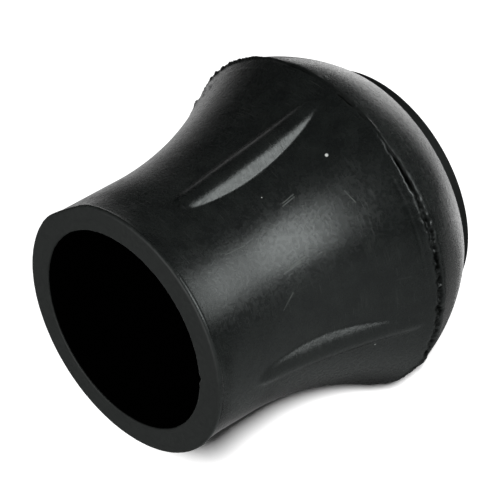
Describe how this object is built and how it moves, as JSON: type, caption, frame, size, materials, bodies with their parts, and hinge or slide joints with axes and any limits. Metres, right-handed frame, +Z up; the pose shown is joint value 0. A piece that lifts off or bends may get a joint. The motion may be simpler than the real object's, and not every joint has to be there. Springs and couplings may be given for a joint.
{
  "type": "rubber foot",
  "caption": "Moulded rubber foot for a round tube leg: a blind sleeve that widens into a ribbed flare, a rounded shoulder and a grooved tread disc.",
  "frame": {"origin": "centre of the tread's face, where the foot stands on the floor", "axes": "+Z up the bore, out of the mouth; the ribs stand on the diagonals between X and Y"},
  "size_m": [0.0414, 0.0414, 0.0394],
  "materials": {
    "rubber": "moulded black rubber, semi-matte with a soft sheen"
  },
  "bodies": {
    "root": {"rubber_foot": "rubber"}
  },
  "joints": []
}
